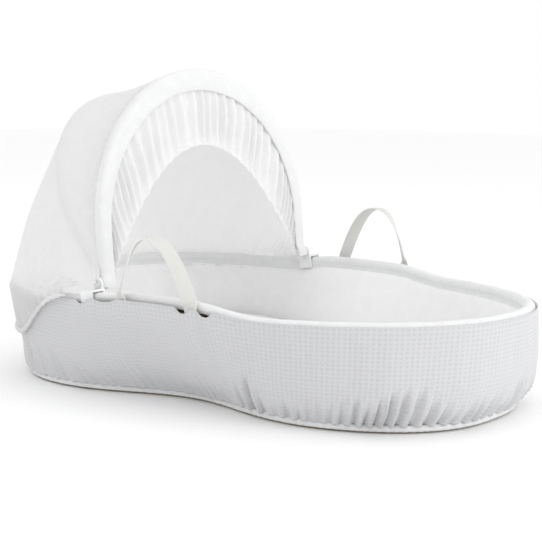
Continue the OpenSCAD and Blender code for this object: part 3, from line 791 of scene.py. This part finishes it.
canopyFront = makePiece("canopyFront", clothGrid(canopy["frontColumns"], canopy["frontRows"], frontPoint,
                                                 (0.86, 0.2)), cloths["canopy"], hoodHeart)
canopyBack = makePiece("canopyBack", clothGrid(canopy["backColumns"], canopy["backRows"], backPoint,
                                               (0.87, 0.36)), cloths["canopy"], hoodHeart)
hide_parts("canopy_front")
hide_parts("canopy_back")
print("canopy", len(canopyFront.data.polygons), len(canopyBack.data.polygons))


# the elastic hem of the canopy
roll = {"columns": 420, "rows": 12, "run": 800, "radius": 3.3, "ruck": 0.22, "below": 3.5, "tall": 1.15}


def canopyHemPoint(u, w):
    p = hemLine(u, 2)
    q = Vector((p.x - hoodHeart.x / mm, p.y, 0)).normalized()
    along = u * roll["run"]
    ruck = math.sin(2 * math.pi * (along / 12 + ripple(along / 50, 0, 77)))
    r = roll["radius"] * (1 + roll["ruck"] * ruck) * min(1, 0.2 + 40 * min(u, 1 - u))
    a = 2 * math.pi * w
    return p + Vector((0, 0, -roll["below"])) + r * (math.cos(a) * q
                                                     + Vector((0, 0, roll["tall"] * math.sin(a))))


canopyHem = makePiece("canopyHem", clothGrid(roll["columns"], roll["rows"], canopyHemPoint, (0.8, 0.022)),
                      cloths["canopy"])
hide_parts("canopy_hem")

# smooth band round the mouth and its frill
band = {"columns": 280, "rows": 30, "run": 850, "skip": -6, "narrow": 0.56, "boot": 3.0,
        "bootReach": 16,
        "section": [(6.6, -6), (7.2, -2), (6.9, 2), (5.2, 5.4), (1.5, 7.2), (-6, 7.9), (-14, 7.9), (-21, 7.3),
                    (-26, 6.0), (-27.6, 4.6), (-26.6, 3.7), (-22, 3.6)]}


def bandPoint(u, w):
    stops = band["section"]
    place = w * (len(stops) - 1)
    grow = through([(i, s[0]) for i, s in enumerate(stops)], place)
    forward = through([(i, s[1]) for i, s in enumerate(stops)], place)
    if grow < 0:
        grow *= mix(band["narrow"], 1, bowRise("front", u, band["skip"]))
    along = u * band["run"]
    soft = 0.6 * ripple(along / 45, w * 3, 81) + 0.35 * ripple(along / 14, w * 5, 83)
    p = bowPoint("front", grow, u, forward + soft * smooth(w / 0.2), band["skip"])
    low = 1 - smooth((p.z - hood["pivotZ"]) / band["bootReach"])
    return p + Vector((band["boot"] * low * smooth(w / 0.15), math.copysign(band["boot"] * low, p.y), 0))


frontBand = makePiece("frontBand", clothGrid(band["columns"], band["rows"], bandPoint, (0.79, 0.05)),
                      cloths["binding"], Vector((-0.3, 0, 0.25)))
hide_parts("front_band")
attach(frontBand, "hood_front")

frill = {"columns": 560, "rows": 54, "run": 700, "foot": 6, "side": 7, "drop": 86, "tuck": 6, "fold": 19,
         "deep": 7.4, "half": 220.742, "leg": 64.258, "hem": 0.93}


# the frill hangs from the band's inner edge to a curve that is widest at its foot
def frillPoint(u, w):
    lean = math.radians(hood["frontLean"])
    half, leg, foot = frill["half"], frill["leg"], frill["foot"]
    run = 2 * (leg - foot) + math.pi * half
    side, e = (-1, u * run) if u < 0.5 else (1, run - u * run)
    a = max(0.0, e - (leg - foot)) / half
    outer = (side * half * math.cos(a), leg + half * math.sin(a) if a else foot + e)
    reach = half - frill["side"]
    y = reach * -math.cos(math.pi * u)
    top = leg + half - frill["tuck"] - frill["drop"]
    inner = (y, mix(top, foot, (y / reach) ** 2))
    y, z = mix(outer[0], inner[0], w), mix(outer[1], inner[1], w)
    along = u * frill["run"]
    free = smooth(min(u, 1 - u) / 0.09)
    drift = 0.95 * ripple(along / 75, 0, 91) + 0.22 * ripple(along / 55, w * 1.6, 95)
    wave = math.sin(2 * math.pi * (along / frill["fold"] + drift))
    deep = frill["deep"] * (0.75 + 0.9 * ripple(along / 48, 0, 93))
    deep *= mix(0.22, 1, math.sin(math.pi * w) ** 0.8)
    small = 0.9 * ripple(along / 9, w * 1.5, 97)
    hem = 0.9 * smooth((w - frill["hem"]) / 0.012)
    forward = 0.6 + (deep * wave + small) * free + hem
    z -= 0.6 * wave * w * w * free
    p = Vector((hood["pivotX"] - z * math.sin(lean), y, hood["pivotZ"] + z * math.cos(lean)))
    return p + Vector((math.cos(lean), 0, math.sin(lean))) * forward


mouthFrill = makePiece("mouthFrill", clothGrid(frill["columns"], frill["rows"], frillPoint, (1.25, 0.09)),
                       cloths["frill"], Vector((-1.0, 0, 0.3)))
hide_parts("frill")
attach(mouthFrill, "hood_front")
print("band and frill", len(mouthFrill.data.polygons))

# the hood's pivot and a point at an angle round it; the canopy's panels are baked where they stand
pivot = Vector((hood["pivotX"], 0, hood["pivotZ"])) * mm


def across(angle, reach):
    a = math.radians(angle)
    return tuple(pivot + Vector((math.cos(a), 0, math.sin(a))) * reach)


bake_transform(canopyFront)
for panel in (canopyBack, canopyHem):
    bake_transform(panel)

# floor and light
floorMesh = bmesh.new()
bmesh.ops.create_grid(floorMesh, x_segments=1, y_segments=1, size=9)
bmesh.ops.translate(floorMesh, verts=floorMesh.verts, vec=(0, 0, -0.0008))
floorMaterial, _, floorShader = startMaterial("studioFloor", 0.9)
floorShader.inputs["Base Color"].default_value = (0.97, 0.97, 0.97, 1)
studioFloor = makePiece("studioFloor", floorMesh, floorMaterial)

# lamps: name, place, size and power
lights = {"world": 1.0,
          "lamps": [("footLamp", (2.9, 0.4, 1.1), 1.2, 21), ("headLamp", (-2.0, -1.6, 2.8), 2.4, 6),
                    ("topLamp", (0.3, 0.2, 3.0), 3.0, 6)]}
world = bpy.data.worlds.new("studioWorld")
world.use_nodes = True
world.node_tree.nodes["Background"].inputs["Color"].default_value = (1, 1, 1, 1)
world.node_tree.nodes["Background"].inputs["Strength"].default_value = lights["world"]
bpy.context.scene.world = world
for name, place, size, power in lights["lamps"]:
    lamp = bpy.data.lights.new(name, "AREA")
    lamp.size = size
    lamp.energy = power
    lampObject = bpy.data.objects.new(name, lamp)
    lampObject.location = place
    lampObject.rotation_euler = (Vector((0, 0, 0.15)) - Vector(place)).to_track_quat("-Z", "Y").to_euler()
    bpy.context.collection.objects.link(lampObject)
bpy.context.scene.view_settings.view_transform = "Standard"
